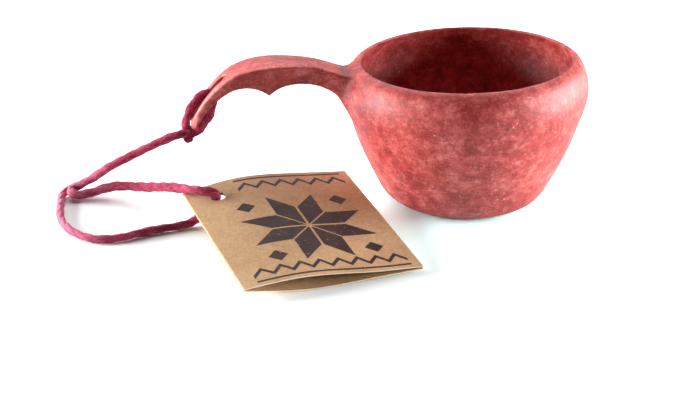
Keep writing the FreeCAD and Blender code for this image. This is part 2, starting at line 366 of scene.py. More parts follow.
def settle(shape, vertices):
    """Moves vertices onto the surface along its slope."""
    probe = 0.12
    for _ in range(6):
        x, y, z = vertices.T
        value = shape(x, y, z)
        slope = np.stack([
            shape(x + probe, y, z) - shape(x - probe, y, z),
            shape(x, y + probe, z) - shape(x, y - probe, z),
            shape(x, y, z + probe) - shape(x, y, z - probe),
        ], axis=1) / (2 * probe)
        size = np.maximum((slope ** 2).sum(axis=1), 0.25)
        move = slope * (value / size)[:, None]
        vertices = vertices - 0.8 * np.clip(move, -0.5, 0.5)
    return vertices


def build_cup(material):
    shape = CupShape()
    low = np.array([-107.5, -49.0, -2.0])
    high = np.array([49.5, 49.0, 60.0])
    axes = [np.arange(low[k], high[k], VOXEL) for k in range(3)]
    values = shape(*np.meshgrid(*axes, indexing="ij"))
    vertices, quads = surface_net(values, low, VOXEL)
    cup = make_object("moulded_cup", [material], settle(shape, vertices), quads.tolist())
    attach(cup, "cup_body")
    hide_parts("cup")


# ======== tag shape

def tag_frames():
    """The near and far ends of the card as (crease point, direction to the free edge, upward normal)."""
    turn = math.radians(TAG_TURN_DEG)
    across = np.array([math.cos(turn), math.sin(turn), 0])
    level_back = np.array([-math.sin(turn), math.cos(turn), 0])
    run_back = math.sqrt(TAG_LENGTH ** 2 - TAG_FAR_RISE ** 2)
    far_corner = TAG_CORNER + level_back * run_back + np.array([0, 0, TAG_FAR_RISE])
    crease_way = (far_corner - TAG_CORNER) / TAG_LENGTH
    frames = []
    for corner, drop in ((TAG_CORNER, TAG_NEAR_DROP), (far_corner, TAG_FAR_DROP)):
        lean = math.asin(drop / TAG_WIDTH)
        outwards = across * math.cos(lean) - np.array([0, 0, math.sin(lean)])
        frames.append((corner, outwards, np.cross(outwards, crease_way)))
    return frames


NEAR_END, FAR_END = tag_frames()


def tag_point(from_crease, from_far_edge, height):
    """A point near the tag's far corner, measured in the far end's frame."""
    corner, outwards, upwards = FAR_END
    forwards = (NEAR_END[0] - FAR_END[0]) / TAG_LENGTH
    return corner + outwards * from_crease + forwards * from_far_edge + upwards * height


class Leaf:
    """One leaf of the folded card. side is 1 for the front leaf and -1 for the back."""

    def __init__(self, side, bows):
        self.side = side
        self.bows = [Spline(list(zip(BOW_STATIONS, ends))).sampled(400).T for ends in bows]

    def at(self, u, v, depth):
        """The place at u from the crease and v from the near edge, depth outside the leaf's inside face."""
        ends = []
        for end, (corner, outwards, upwards) in enumerate((NEAR_END, FAR_END)):
            height = self.side * (np.interp(u, *self.bows[end]) + depth)
            ends.append(corner + u[..., None] * outwards + height[..., None] * upwards)
        share = (v / TAG_LENGTH)[..., None]
        return ends[0] * (1 - share) + ends[1] * share


def grid_lines(length, hole_place):
    """Grid positions along one side of the card, with 8 steps across the patch around the hole."""
    patch_half = 4.6
    low, high = hole_place - patch_half, hole_place + patch_half
    before = np.linspace(0, low, max(2, int(round(low / GRID)) + 1))
    patch = np.linspace(low, high, 9)
    after = np.linspace(high, length, max(2, int(round((length - high) / GRID)) + 1))
    return np.concatenate([before, patch[1:], after[1:]]), len(before) - 1


def places_round(left, near, right, far):
    """Grid places round a rectangle, from its near left corner and back to it."""
    return ([(i, near) for i in range(left, right)] + [(right, j) for j in range(near, far)]
            + [(i, far) for i in range(right, left, -1)] + [(left, j) for j in range(far, near, -1)])


def punched_sheet():
    """(u, v) points and faces of a flat card with a round hole, and the loops round the card and the hole."""
    us, u_start = grid_lines(TAG_WIDTH, TAG_HOLE[0])
    vs, v_start = grid_lines(TAG_LENGTH, TAG_HOLE[1])
    points, number = [], {}
    for i, u in enumerate(us):
        for j, v in enumerate(vs):
            if not (u_start < i < u_start + 8 and v_start < j < v_start + 8):
                number[i, j] = len(points)
                points.append((u, v))
    faces = []
    for i in range(len(us) - 1):
        for j in range(len(vs) - 1):
            if not (u_start <= i < u_start + 8 and v_start <= j < v_start + 8):
                faces.append([number[i, j], number[i + 1, j], number[i + 1, j + 1], number[i, j + 1]])
    ring = [number[place] for place in places_round(u_start, v_start, u_start + 8, v_start + 8)]
    outer = np.array([points[k] for k in ring])
    angles = np.arctan2(outer[:, 1] - TAG_HOLE[1], outer[:, 0] - TAG_HOLE[0])
    inner = np.array(TAG_HOLE) + TAG_HOLE_RADIUS * np.stack([np.cos(angles), np.sin(angles)], axis=1)
    for share in (0.35, 0.7, 1.0):
        base = len(points)
        points.extend(map(tuple, outer * (1 - share) + inner * share))
        new_ring = list(range(base, base + 32))
        for k in range(32):
            following = (k + 1) % 32
            faces.append([ring[following], ring[k], new_ring[k], new_ring[following]])
        ring = new_ring
    border = [number[place] for place in places_round(0, 0, len(us) - 1, len(vs) - 1)]
    return np.array(points), faces, border, ring


def leaf_mesh(leaf):
    """Vertices, faces, face materials and uvs of one leaf. Material 1 is the cut edge."""
    flat, faces, border, hole = punched_sheet()
    count = len(flat)
    vertices = np.vstack([leaf.at(*flat.T, depth) for depth in (CARD, 0.0)])
    uvs = np.vstack([flat, flat]) / 100.0
    turned = leaf.side < 0
    result, material = [], []
    for face in faces:
        result.append(face[::-1] if turned else face)
        result.append([k + count for k in (face if turned else face[::-1])])
        material += [0, 0]
    for loop in (border, hole[::-1]):
        for a, b in zip(loop, loop[1:] + loop[:1]):
            wall = [b, a, a + count, b + count]
            result.append(wall[::-1] if turned else wall)
            material.append(1)
    return vertices, result, material, uvs


def fold_mesh():
    """The rounded fold that joins the back leaf to the front one: a half pipe with a wall of card."""
    steps, lengths = 12, 50
    angles = [math.radians(-90 + 180 * k / steps) for k in range(steps + 1)]
    section = [(CARD_INSIDE + CARD, angle) for angle in angles]
    section += [(CARD_INSIDE, angle) for angle in angles[::-1]]
    vertices, uvs = [], []
    for j in range(lengths + 1):
        share = j / lengths
        corner, outwards, upwards = (near * (1 - share) + far * share for near, far in zip(NEAR_END, FAR_END))
        for radius, angle in section:
            vertices.append(corner + radius * (upwards * math.sin(angle) - outwards * math.cos(angle)))
            uvs.append((0.0, share * TAG_LENGTH / 100))
    around = len(section)
    faces = tube_faces(lengths + 1, around)
    material = [2 if k < steps else 0 for _ in range(lengths) for k in range(around)]
    for first, flip in ((0, True), (lengths * around, False)):
        for k in range(steps):
            inner = first + around - 1 - k
            cap = [first + k, first + k + 1, inner - 1, inner]
            faces.append(cap[::-1] if flip else cap)
            material.append(1)
    return np.array(vertices), faces, material, np.array(uvs)


def join_meshes(*parts):
    """One mesh from several, each given as vertices, faces, face materials and a value for each vertex."""
    all_faces, all_materials, base = [], [], 0
    for vertices, faces, materials, _ in parts:
        all_faces += [[k + base for k in face] for face in faces]
        all_materials += materials
        base += len(vertices)
    vertices, values = (np.vstack([part[k] for part in parts]) for k in (0, 3))
    return vertices, all_faces, all_materials, values


def build_tag(*materials):
    """Both leaves and the fold. The materials are for the card, its cut edges and the fold."""
    front_leaf = Leaf(1, FRONT_BOWS)
    for side, leaf in (("front", front_leaf), ("back", Leaf(-1, BACK_BOWS))):
        card = make_object(f"tag_{side}_card", materials, *leaf_mesh(leaf), sharp_deg=35)
        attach(card, f"tag_{side}")
        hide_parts(f"tag_{side}_leaf")
    fold = make_object("tag_fold_spine", materials, *fold_mesh(), sharp_deg=35)
    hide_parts("tag_crease")
    spine = unit(FAR_END[0] - NEAR_END[0])
    upwards = NEAR_END[2] + FAR_END[2]
    upwards = unit(upwards - spine * (upwards @ spine)) * 0.3
    bend_between(fold)
    return front_leaf


# ======== tag print

def rose_petals(centre, reach, width):
    """The eight slanted petals of a knitted star, as (u, v) outlines."""
    petals = []
    gap = 0.5
    petal = [(gap, 1.9 * gap), (gap, reach), (width, reach + width), (width, width + gap)]
    for quarter in range(4):
        angle = math.pi / 2 * quarter
        turn = np.array([[math.cos(angle), math.sin(angle)], [-math.sin(angle), math.cos(angle)]])
        for mirror in (1, -1):
            corners = np.array(petal) * [mirror, 1] @ turn + centre
            petals.append(corners if mirror > 0 else corners[::-1])
    return petals


def diamond(u, v, half):
    return np.array([(u - half, v), (u, v - half), (u + half, v), (u, v + half)])


def zigzag(start_u, end_u, v, height, thickness, teeth):
    """One slanted bar per half tooth, along the card's width."""
    bars = []
    places = np.linspace(start_u, end_u, 2 * teeth + 1)
    for k in range(2 * teeth):
        v0, v1 = (v, v + height) if k % 2 == 0 else (v + height, v)
        bars.append(np.array([(places[k], v0), (places[k + 1], v1), (places[k + 1], v1 + thickness),
                              (places[k], v0 + thickness)]))
    return bars


def bar(start_u, end_u, v, thickness):
    return np.array([(start_u, v), (end_u, v), (end_u, v + thickness), (start_u, v + thickness)])


def print_outlines():
    """A plain knitted-star block print with a zigzag border."""
    centre = np.array([35.0, 34.0])
    outlines = rose_petals(centre, 14.0, 9.0)
    outlines += [diamond(*(centre + (u, v)), 3.6) for u in (-18.0, 18.0) for v in (-18.0, 18.0)]
    outlines += zigzag(5.0, 61.5, 4.6, 4.0, 2.0, 8)
    outlines += zigzag(18.5, 61.5, 64.6, 4.0, 2.0, 6)
    outlines.append(bar(5.0, 61.5, 1.9, 1.0))
    outlines.append(bar(18.5, 61.5, 72.1, 1.0))
    return outlines


def ink_plate(leaf, outline):
    """A closed film of ink over an outline, cut into small faces so that it follows the card's arch."""
    sheet = bmesh.new()
    sheet.faces.new([sheet.verts.new((u, v, 0)) for u, v in outline])
    for axis in (0, 1):
        low, high = outline[:, axis].min(), outline[:, axis].max()
        normal = (1, 0, 0) if axis == 0 else (0, 1, 0)
        for cut in np.arange(math.ceil(low / GRID) * GRID, high, GRID):
            place = tuple(cut * n for n in normal)
            everything = sheet.verts[:] + sheet.edges[:] + sheet.faces[:]
            bmesh.ops.bisect_plane(sheet, geom=everything, plane_co=place, plane_no=normal)
    bmesh.ops.recalc_face_normals(sheet, faces=sheet.faces)
    if sum(face.normal.z for face in sheet.faces) < 0:
        bmesh.ops.reverse_faces(sheet, faces=sheet.faces)
    sheet.verts.index_update()
    flat = np.array([vertex.co[:2] for vertex in sheet.verts])
    faces = [[vertex.index for vertex in face.verts] for face in sheet.faces]
    rim = [edge.link_loops[0] for edge in sheet.edges if edge.is_boundary]
    walls = [(loop.vert.index, loop.link_loop_next.vert.index) for loop in rim]
    sheet.free()
    top, bottom = (leaf.at(*flat.T, depth) for depth in (CARD + INK, CARD - 0.05))
    count = len(flat)
    result = faces + [[k + count for k in face[::-1]] for face in faces]
    result += [[b, a, a + count, b + count] for a, b in walls]
    return np.vstack([top, bottom]), result, [0] * len(result), np.vstack([flat, flat]) / 100.0


def build_print(leaf, ink):
    plates = [ink_plate(leaf, outline) for outline in print_outlines()]
    film = make_object("tag_print", [ink], *join_meshes(*plates), sharp_deg=35)
    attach(film, "tag_front")


# ======== cord shape

def unit(vector):
    return vector / np.linalg.norm(vector, axis=-1, keepdims=True)


class CordLine:
    """A cord's centre line as evenly spaced points, with a frame carried along it without twist."""

    def __init__(self, points, first_normal=(0.0, 0.0, 1.0)):
        curve = Spline(points)
        fine = curve.at(np.linspace(0, curve.stations[-1], 12000))
        along = np.concatenate([[0.0], np.cumsum(np.linalg.norm(np.diff(fine, axis=0), axis=1))])
        self.length = along[-1]
        count = int(round(self.length / RING_STEP)) + 1
        self.distances = np.linspace(0, self.length, count)
        self.centres = np.stack([np.interp(self.distances, along, fine[:, k]) for k in range(3)], axis=1)
        self.tangents = unit(np.gradient(self.centres, axis=0))
        normal = np.array(first_normal, float)
        normals = []
        for tangent in self.tangents:
            normal = unit(normal - tangent * (normal @ tangent))
            normals.append(normal)
        self.normals = np.array(normals)
        self.sides = np.cross(self.tangents, self.normals)
        self.curve = curve

    def index_at(self, station):
        """The ring nearest to the curve's own station."""
        place = self.curve.at(station)[0]
        return int(np.argmin(np.linalg.norm(self.centres - place, axis=1)))


def ply_tube(line, first, last, phase, thickness):
    """One ply from ring first to ring last: a ridged tube that winds round the line."""
    rings = np.arange(first, last + 1)
    distance = line.distances[rings]
    scale = thickness[rings][:, None]
    angle = 2 * np.pi * distance / PLY_TURN + phase
    radial = (np.cos(angle)[:, None] * line.normals[rings] + np.sin(angle)[:, None] * line.sides[rings])
    wander = 1 + 0.10 * np.sin(distance * 0.83 + phase * 2.1) * np.sin(distance * 0.31 + phase)
    helix_radius = HELIX_RADIUS * CORD_RADIUS * scale * wander[:, None]
    centres = line.centres[rings] + radial * helix_radius
    winding = np.cross(line.tangents[rings], radial) * (2 * np.pi / PLY_TURN) * helix_radius
    heading = unit(line.tangents[rings] + winding)
    second = np.cross(heading, radial)
    turn = 2 * np.pi * np.arange(PLY_SIDES) / PLY_SIDES
    thread = turn[None, :] + distance[:, None] * THREAD_TWIST + phase
    ridge = 1 + 0.07 * np.cos(8 * thread) + 0.05 * np.cos(3 * thread + distance[:, None] * 0.7)
    ply_radius = PLY_RADIUS * CORD_RADIUS * scale * ridge
    round_ply = (np.cos(turn)[None, :, None] * radial[:, None, :]
                 + np.sin(turn)[None, :, None] * second[:, None, :])
    points = (centres[:, None, :] + ply_radius[..., None] * round_ply).reshape(-1, 3)
    far_along = distance[:, None] + 37 * phase
    threads = np.stack(np.broadcast_arrays(np.cos(thread), np.sin(thread), far_along), axis=-1)
    rows, sides = len(rings), PLY_SIDES
    faces = tube_faces(rows, sides)
    for row, centre, flip in ((0, centres[0], True), (rows - 1, centres[-1], False)):
        middle = len(points)
        points = np.vstack([points, centre])
        for k in range(sides):
            cap = [row * sides + k, row * sides + (k + 1) % sides, middle]
            faces.append(cap[::-1] if flip else cap)
    threads = np.vstack([threads.reshape(-1, 3), [(0, 0, distance[0]), (0, 0, distance[-1])]])
    return points, faces, [0] * len(faces), threads


def fibre(root, heading, bend, length):
    """A loose fibre: a thin closed three-sided thread with a curl."""
    rows = 5
    share = np.linspace(0, 1, rows)[:, None]
    spine = root + heading * length * share + bend * length * share ** 2
    width = FIBRE_WIDTH * (1 - 0.6 * share)
    side = unit(np.cross(heading, bend) + 1e-6)
    other = unit(np.cross(heading, side))
    vertices = []
    for k in range(3):
        angle = 2 * math.pi * k / 3
        vertices.append(spine + width * (math.cos(angle) * side + math.sin(angle) * other))
    vertices = np.stack(vertices, axis=1).reshape(-1, 3)
    last = 3 * rows - 1
    faces = tube_faces(rows, 3) + [[2, 1, 0], [last - 2, last - 1, last]]
    return vertices, faces, [1] * len(faces), np.full((len(vertices), 3), 0.5)


def fuzz(line, first, last, thickness, per_mm):
    """Loose fibres that stand off the cord between two rings."""
    parts = []
    count = int((line.distances[last] - line.distances[first]) * per_mm)
    for _ in range(count):
        ring = int(RANDOM.integers(first, last + 1))
        angle = RANDOM.uniform(0, 2 * math.pi)
        out = math.cos(angle) * line.normals[ring] + math.sin(angle) * line.sides[ring]
        slide = line.tangents[ring] * RANDOM.choice([-1.0, 1.0])
        heading = unit(out * RANDOM.uniform(0.25, 0.6) + slide)
        bend = unit(np.cross(heading, out) * RANDOM.uniform(-1, 1) + out * RANDOM.uniform(-0.6, 0.5) + 1e-6)
        root = line.centres[ring] + out * CORD_RADIUS * thickness[ring] * 0.82
        if root[2] < 2.2:
            heading[2], bend[2] = abs(heading[2]), abs(bend[2])
        parts.append(fibre(root, heading, bend * RANDOM.uniform(0.2, 0.7), RANDOM.uniform(0.8, 2.0)))
    return parts


def cord_piece(name, line, first, last, thickness, yarn, nodes, per_mm=FUZZ_PER_MM):
    """A length of cord between two rings, standing for CAD nodes."""
    parts = [ply_tube(line, first, last, 2 * math.pi * k / PLIES, thickness) for k in range(PLIES)]
    parts += fuzz(line, first, last, thickness, per_mm)
    vertices, faces, material, threads = join_meshes(*parts)
    piece = make_object(name, yarn, vertices, faces, material)
    layer = piece.data.attributes.new("thread", "FLOAT_VECTOR", "POINT")
    layer.data.foreach_set("vector", threads.astype(np.float32).ravel())
    if nodes:
        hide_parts(*nodes)
    return piece


def knot_centre():
    return TIP_BAR + slope_frame(SLING_SLOPE_DEG)[0] * KNOT_BELOW_BAR


def cord_stations():
    """Points along the cord's loop, from the knot out, round and back. Some are named."""
    near_knot = knot_centre() + np.array([-KNOT_RADIUS - 0.8, 0, -0.7])
    beside = np.array([0, 1.5, -0.65])
    turn = 2.3
    inner = TAG_HOLE[0] - 0.7 - turn
    diagonal = turn * math.sqrt(0.5)
    level = TAG_RISE_AT_HOLE - 0.25
    crest = level + turn
    floor = CORD_RADIUS + 0.15
    return [
        ("knot_front", knot_centre() + np.array([-0.6, -0.7, 0.2])),
        (None, near_knot - beside),
        (None, (-120.0, 1.0, 23.5)),
        (None, (-129.1, 3.4, 18.3)),
        (None, (-138.4, 5.9, 12.5)),
        ("turn_in", (-146.8, 8.3, 6.4)),
        (None, (-150.2, 8.8, 4.4)),
        (None, (-151.8, 8.3, 3.7)),
        (None, (-152.5, 6.8, 3.1)),
        (None, (-151.9, 5.3, 2.7)),
        (None, (-150.3, 4.8, 2.5)),
        ("turn_out", (-146.8, 5.0, 2.6)),
        (None, (-137.8, 6.0, 4.6)),
        (None, (-126.0, 0.6, 6.6)),
        ("bight_in", (-113.4, -10.6, 10.7)),
        (None, tag_point(1.6, 3.4, crest - 1.1)),
        (None, tag_point(inner, HOLE_LANE - 0.4, crest)),
        ("hole_top", tag_point(inner + diagonal, HOLE_LANE, level + diagonal)),
        (None, tag_point(inner + turn, HOLE_LANE, level)),
        ("hole_bottom", tag_point(inner + diagonal, HOLE_LANE, level - diagonal)),
        (None, tag_point(inner - 0.7, HOLE_LANE + 0.1, level - turn - 0.4)),
        (None, (-103.6, -23.4, 3.0)),
        ("bight_out", (-110.4, -26.2, floor)),
        (None, (-121.0, -29.6, floor)),
        (None, (-131.5, -34.8, floor)),
        (None, (-139.5, -35.2, floor)),
        ("bend_in", (-146.8, -30.6, floor)),
        (None, (-152.6, -22.0, floor)),
        (None, (-155.6, -9.0, floor)),
        (None, (-156.2, 1.0, floor)),
        (None, (-156.1, 7.4, floor)),
        (None, (-153.4, 11.4, floor + 0.9)),
        ("bend_out", (-146.8, 11.9, 5.0)),
        (None, (-138.4, 9.0, 11.1)),
        (None, (-129.1, 6.5, 16.9)),
        (None, (-120.0, 4.1, 22.2)),
        (None, near_knot + beside),
        ("knot_rear", knot_centre() + np.array([-0.6, 0.7, -0.2])),
    ]


# thickness of the cord at named stations, as a share of CORD_RADIUS
CORD_SIZES = {"knot_front": 1.0, "turn_in": 1.05, "turn_out": 1.18, "bight_in": 1.2, "hole_bottom": 1.12,
              "bight_out": 0.98, "bend_in": 0.95, "bend_out": 0.98, "knot_rear": 1.0}


def cord_pieces():
    """Each piece's name, its two end stations, the two bodies it goes between, where it stops following the
    first body, where it follows only the second, and the CAD nodes it stands for."""
    near_knot, past_knot = knot_centre() + [-2, 0, 0], knot_centre() + [-12, 0, -2]
    at = dict(cord_stations())
    over_hole = tag_point(TAG_HOLE[0], HOLE_LANE, TAG_RISE_AT_HOLE + 0.3)
    under_hole = tag_point(TAG_HOLE[0], HOLE_LANE, TAG_RISE_AT_HOLE - 0.9)
    return [
        ("yarn_run_front", "knot_front", "turn_in", "sling", "run", near_knot, past_knot, ["cord_run_front"]),
        ("yarn_turn", "turn_in", "turn_out", "run", "loop", at["turn_in"], at["turn_out"], ["cord_turn"]),
        ("yarn_upper", "turn_out", "bight_in", "loop", "tag_back", (-126.0, 0.6, 6.6), (-115.0, -9.2, 10.2),
         ["cord_upper_strand"]),
        ("yarn_over_tag", "bight_in", "hole_top", "tag_back", "tag_front", at["bight_in"],
         tag_point(-0.5, 1.5, 3.0), ["cord_bight"]),
        ("yarn_in_hole", "hole_top", "hole_bottom", "tag_front", "tag_back", over_hole, under_hole, []),
        ("yarn_lower", "hole_bottom", "bend_in", "tag_back", "loop",
         tag_point(TAG_HOLE[0] - 1.5, HOLE_LANE, 0), (-106.0, -24.8, 2.2), ["cord_lower_strand"]),
        ("yarn_bend", "bend_in", "bend_out", "loop", "run", (-156.0, 3.0, 1.6), (-147.5, 12.2, 4.6),
         ["cord_bend"]),
        ("yarn_run_rear", "bend_out", "knot_rear", "run", "sling", past_knot, near_knot, ["cord_run_rear"]),
    ]


def cord_thickness(line, marks):
    """How thick the cord is along its length. Soft yarn spreads where it lies slack."""
    places = [line.distances[marks[name]] for name in CORD_SIZES]
    size = np.interp(line.distances, places, list(CORD_SIZES.values()))
    size *= 1 + 0.035 * np.sin(line.distances * 0.37) + 0.025 * np.sin(line.distances * 0.91 + 1)
    return size


def build_loop(yarn):
    stations = cord_stations()
    line = CordLine([place for _, place in stations])
    marks = {name: line.index_at(line.curve.stations[k]) for k, (name, _) in enumerate(stations) if name}
    marks["knot_front"], marks["knot_rear"] = 0, len(line.distances) - 1
    thickness = cord_thickness(line, marks)
    for name, start, end, first_body, second_body, stops, only_second, nodes in cord_pieces():
        piece = cord_piece(name, line, marks[start], marks[end], thickness, yarn, nodes)
        bend_between(piece)


def build_sling(yarn):
    """The turn through the slot and round the tip, with both its ends inside the knot."""
    along, outwards = slope_frame(SLING_SLOPE_DEG)
    shift = -0.15 * outwards
    points, thickness_at = [], []
    for angle in np.linspace(12, 348, 29):
        turn = math.radians(angle)
        reach = SLING_HALF_LENGTH * (1 - math.cos(turn))
        half_width = np.interp(reach, *SLING_HALF_WIDTHS)
        lean = np.array([0, 0.12 * math.sin(2 * turn), 0])
        points.append(knot_centre() - along * reach + outwards * half_width * math.sin(turn) + lean + shift)
        thickness_at.append(np.interp(reach, *SLING_SIZES))
    line = CordLine(points, (0, 1, 0))
    thickness = np.interp(line.distances, line.curve.stations, thickness_at)
    thickness = thickness * (1 + 0.04 * np.sin(line.distances * 0.9))
    piece = cord_piece("yarn_sling", line, 0, len(line.distances) - 1, thickness, yarn, ["cord_sling"])
    bend_between(piece)


def build_knot(yarn):
    """An overhand knot pulled tight, and the short cut end of the cord below it."""
    centre = knot_centre() + slope_frame(SLING_SLOPE_DEG)[0] * KNOT_DROP
    points = []
    for turn in np.linspace(0.25, 0.25 + 2 * math.pi * 0.97, 49):
        points.append(centre + KNOT_SIZE * np.array([
            math.sin(turn) + 2 * math.sin(2 * turn),
            0.9 * (-1.4 * math.sin(3 * turn)),
            math.cos(turn) - 2 * math.cos(2 * turn)]) * [0.85, 0.95, 1.0])
    line = CordLine(points, (0, 1, 0))
    thickness = 0.90 + 0.05 * np.sin(line.distances * 0.8)
    piece = cord_piece("yarn_knot", line, 0, len(line.distances) - 1, thickness, yarn, ["cord_knot"])
    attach(piece, "sling")
    way = unit(np.array([0.08, -0.35, -0.93]))
    end = CordLine([centre + way * k for k in (0.5, 1.4, 2.3, 3.2)], (0, 1, 0))
    spread = np.interp(end.distances, [0, 0.6 * end.length, end.length], [1.0, 1.3, 0.85])
    piece = cord_piece("yarn_end", end, 0, len(end.distances) - 1, spread, yarn, ["cord_end"], per_mm=14)
    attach(piece, "sling")


# ======== materials

class Nodes:
    """A short way to write shader nodes."""

    def __init__(self, tree):
        self.tree = tree
        coordinates = self.add("TexCoord")
        self.place = coordinates.outputs["Object"]
        self.normal = coordinates.outputs["Normal"]
        self.direction = coordinates.outputs["Generated"]

    def add(self, kind, inputs=None, **settings):
        node = self.tree.nodes.new("ShaderNode" + kind)
        for key, value in settings.items():
            setattr(node, key, value)
        for key, value in (inputs or {}).items():
            self.put(value, node.inputs[key])
        return node

    def put(self, value, socket):
        if isinstance(value, bpy.types.NodeSocket):
            self.tree.links.new(value, socket)
        else:
            socket.default_value = value

    def noise(self, vector, scale, detail=4.0, roughness=0.55, distortion=0.0, output="Fac"):
        inputs = {"Vector": vector, "Scale": scale, "Detail": detail, "Roughness": roughness,
                  "Distortion": distortion}
        return self.add("TexNoise", inputs).outputs[output]

    def stretch(self, vector, scale, turn=(0, 0, 0)):
        inputs = {"Vector": vector, "Scale": scale, "Rotation": turn}
        return self.add("Mapping", inputs).outputs["Vector"]

    def ramp(self, value, *stops):
        node = self.add("ValToRGB", {"Fac": value})
        elements = node.color_ramp.elements
        while len(elements) < len(stops):
            elements.new(0.5)
        for element, (position, red, green, blue) in zip(elements, stops):
            element.position = position
            element.color = srgb(red, green, blue)
        return node.outputs["Color"]

    def between(self, value, low, high, new_low=0.0, new_high=1.0):
        inputs = {"Value": value, "From Min": low, "From Max": high, "To Min": new_low, "To Max": new_high}
        return self.add("MapRange", inputs).outputs["Result"]

    def math(self, operation, a, b=0.0):
        return self.add("Math", {0: a, 1: b}, operation=operation).outputs["Value"]

    def times(self, a, b):
        return self.math("MULTIPLY", a, b)

    def total(self, *terms):
        """The sum of values, each given as (value, share)."""
        result = self.times(*terms[0])
        for value, share in terms[1:]:
            result = self.math("ADD", result, self.times(value, share))
        return result

    def vectors(self, operation, *inputs, output="Value"):
        return self.add("VectorMath", dict(enumerate(inputs)), operation=operation).outputs[output]

    def axis(self, vector, name):
        return self.add("SeparateXYZ", {0: vector}).outputs[name]

    def mix(self, factor, a, b):
        node = self.add("Mix", data_type="RGBA")
        for value, socket in ((factor, node.inputs[0]), (a, node.inputs[6]), (b, node.inputs[7])):
            self.put(value, socket)
        return node.outputs[2]

    def bump(self, height, strength, distance, normal=None):
        inputs = {"Height": height, "Strength": strength, "Distance": distance}
        if normal is not None:
            inputs["Normal"] = normal
        return self.add("Bump", inputs).outputs["Normal"]

    def end_at(self, kind, surface):
        self.tree.links.new(surface, self.tree.nodes[kind].inputs["Surface"])


class Material(Nodes):
    """A new material and its nodes."""

    def __init__(self, name):
        self.material = bpy.data.materials.new(name)
        self.material.use_nodes = True
        super().__init__(self.material.node_tree)

    def finish(self, **inputs):
        shader = self.tree.nodes["Principled BSDF"]
        for key, value in inputs.items():
            self.put(value, shader.inputs[key.replace("_", " ")])
        return self.material


def bowl_inside_shade(m):
    """Where painted shade darkens the bowl: 1 on the hollow's wall and bottom, 0 on the outside and the
    handle.
    """
    level = m.vectors("MULTIPLY", m.place, (1, 1, 0), output="Vector")
    radius = m.vectors("LENGTH", level)
    facing = m.vectors("DOT_PRODUCT", m.normal, level)
    inward = m.between(facing, 0.004, -0.004)
    close = m.math("LESS_THAN", radius, 0.0432)
    above_foot = m.math("GREATER_THAN", m.axis(m.place, "Z"), 0.003)
    return m.times(inward, m.times(close, above_foot))


def handle_side_shade(m):
    """Where painted shade darkens the handle: 1 on its upright sides, 0 elsewhere."""
    upright = m.between(m.math("ABSOLUTE", m.axis(m.normal, "Y")), 0.45, 0.90)
    return m.times(upright, m.between(m.axis(m.place, "X"), -0.050, -0.062))


def crack_web(m):
    """Fine bent lines that come and go in patches."""
    wander = m.noise(m.place, 260.0, 6.0, 0.5, output="Color")
    bent = m.vectors("MULTIPLY_ADD", wander, (0.010, 0.010, 0.010), m.place, output="Vector")
    web = m.add("TexVoronoi", {"Vector": bent, "Scale": 230.0}, feature="DISTANCE_TO_EDGE")
    lines = m.between(web.outputs["Distance"], 0.10, 0.02)
    return m.times(lines, m.between(m.noise(m.place, 75.0, 3.0), 0.46, 0.60))


def pale_flecks(m):
    """A few small round flecks."""
    cells = m.add("TexVoronoi", {"Vector": m.place, "Scale": 420.0, "Randomness": 1.0})
    return m.times(m.between(cells.outputs["Distance"], 0.16, 0.05),
                   m.between(m.noise(m.place, 160.0, 1.0), 0.60, 0.70))


def cup_material():
    """Moulded wood-fibre composite: cloudy flow marks, fine fibres and pale flecks under a satin skin, with
    painted shade inside the bowl and on the handle's upright sides.
    """
    m = Material("cup_composite")
    flow = m.stretch(m.place, (1.0, 1.0, 1.4), (0.3, 0.2, 0.4))
    clouds = m.noise(flow, 120.0, 12.0, 0.72, 0.25)
    patches = m.noise(flow, 38.0, 4.0, 0.5, 0.5)
    crumbs = m.noise(m.place, 330.0, 6.0, 0.75, 0.3)
    grain = m.noise(m.place, 1100.0, 4.0, 0.7)
    tone = m.total((clouds, 0.72), (patches, 0.28), (m.math("SUBTRACT", crumbs, 0.5), 0.42),
                   (m.math("SUBTRACT", grain, 0.5), 0.22))
    colour = m.ramp(tone, (0.32, 128, 26, 27), (0.43, 166, 49, 46), (0.52, 195, 72, 68), (0.60, 214, 100, 95),
                    (0.72, 238, 152, 146))
    flakes = m.between(m.noise(flow, 230.0, 10.0, 0.82, 0.4), 0.54, 0.585)
    fibres = m.noise(m.stretch(m.place, (500.0, 500.0, 1900.0), (0.6, 0.9, 0.2)), 1.0, 2.0, 0.5)
    dark_fibres = m.noise(m.stretch(m.place, (1300.0, 700.0, 700.0), (0.2, 0.1, 0.7)), 1.0, 2.0, 0.5)
    layers = [
        (flakes, 0.24, (242, 164, 158)),
        (m.between(fibres, 0.64, 0.76), 0.35, (240, 172, 162)),
        (pale_flecks(m), 1.0, (250, 205, 190)),
        (m.between(dark_fibres, 0.60, 0.74), 0.45, (96, 12, 14)),
        (crack_web(m), 0.38, (104, 20, 22)),
        # painted shade: the hollow's wall and bottom are darkened
        (bowl_inside_shade(m), 0.20, (60, 8, 10)),
        # painted shade: the handle's upright sides are darkened
        (handle_side_shade(m), 0.42, (96, 12, 12)),
    ]
    for where, strength, tint in layers:
        colour = m.mix(m.times(where, strength), colour, srgb(*tint))
    skin = m.bump(m.total((grain, 0.5), (fibres, 0.5)), 0.2, 0.0003)
    skin = m.bump(m.noise(m.place, 110.0, 3.0), 0.10, 0.001, skin)
    rough = m.between(clouds, 0.3, 0.7, 0.46, 0.64)
    return m.finish(Base_Color=colour, Roughness=rough, Normal=skin, Specular_IOR_Level=0.5,
                    Subsurface_Weight=0.05, Subsurface_Radius=(0.003, 0.0008, 0.0008), Subsurface_Scale=1.0)


